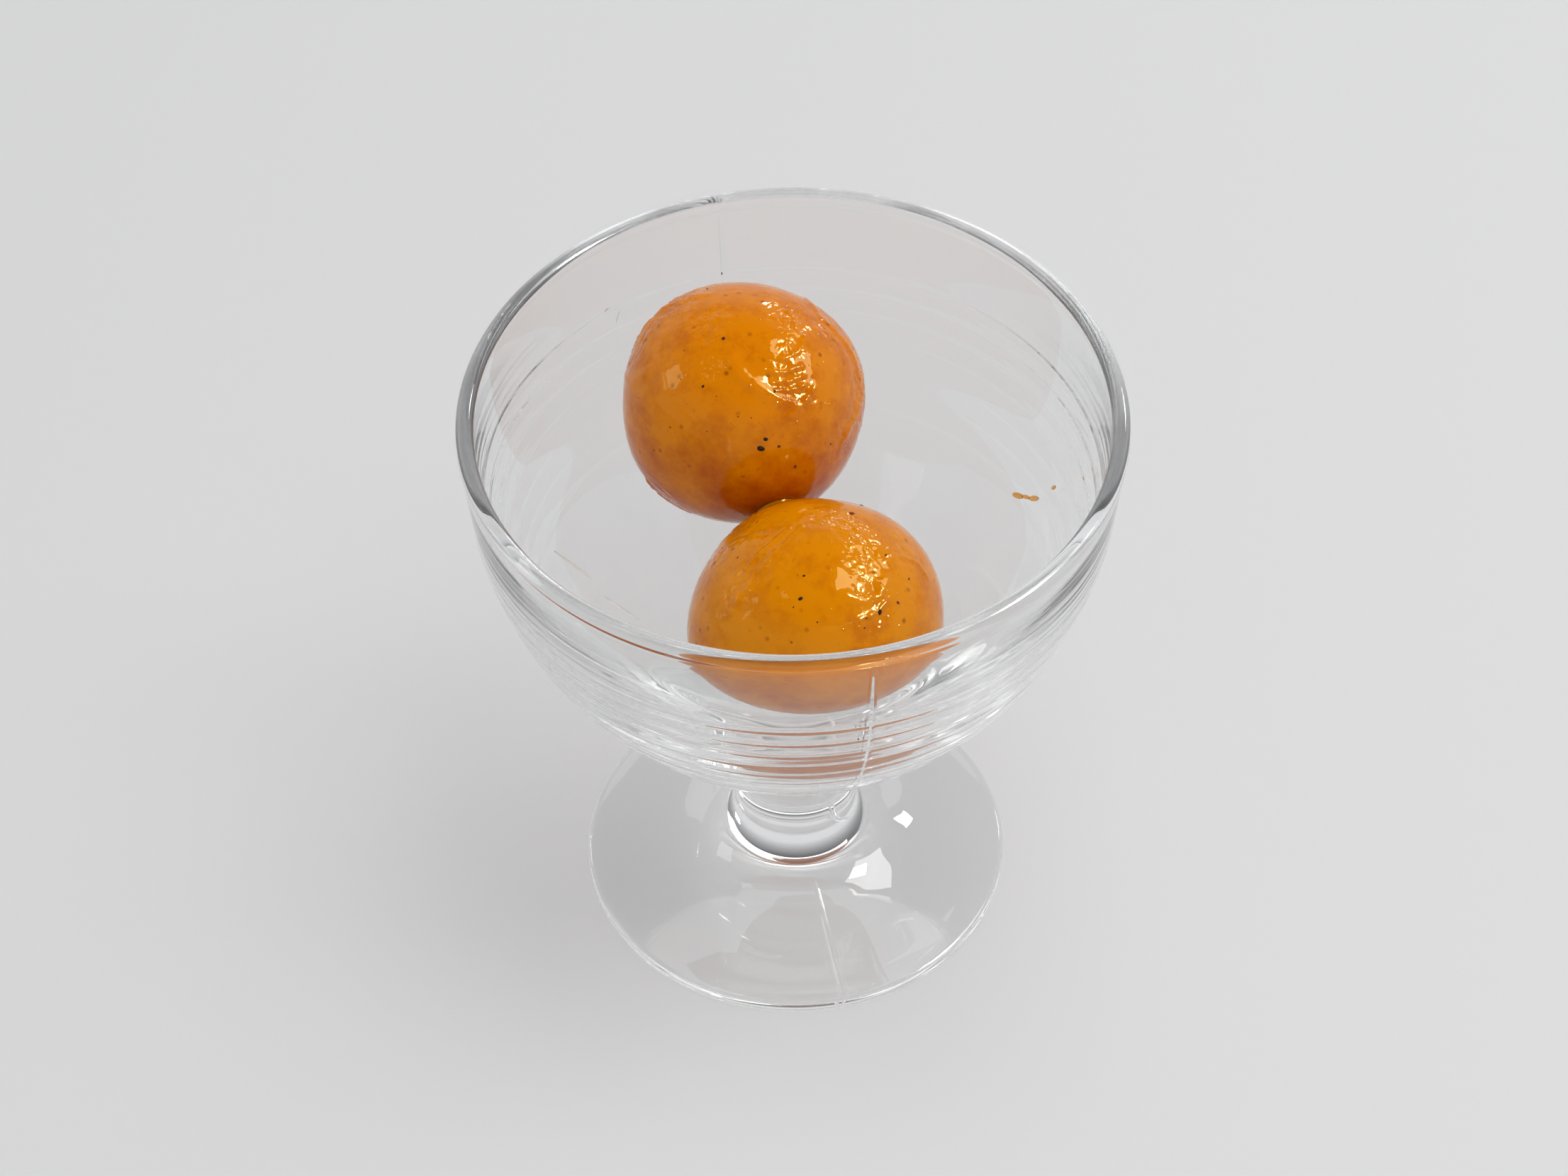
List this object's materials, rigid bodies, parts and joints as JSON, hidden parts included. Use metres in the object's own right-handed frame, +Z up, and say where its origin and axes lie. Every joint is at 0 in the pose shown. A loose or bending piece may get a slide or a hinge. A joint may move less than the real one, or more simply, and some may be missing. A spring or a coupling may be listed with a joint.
{
  "type": "gulab jamun in a footed glass dish",
  "caption": "Round syrup-soaked milk dumplings, amber and glossy, in a clear footed glass dessert dish with fine rings round its bowl.",
  "frame": {"origin": "centre of the foot's underside, on the surface the dish stands on", "axes": "+Z up along the dish's axis; -Y towards the front, where the lower jamun lies; +X to the right"},
  "size_m": [0.1084, 0.1084, 0.1117],
  "materials": {
    "clear_glass": "polished pressed glass",
    "syrup_soaked_dough": "glossy with syrup, finely wrinkled skin"
  },
  "bodies": {
    "root": {"dish": "clear_glass", "jamun_front": "syrup_soaked_dough", "jamun_back": "syrup_soaked_dough"}
  },
  "joints": []
}
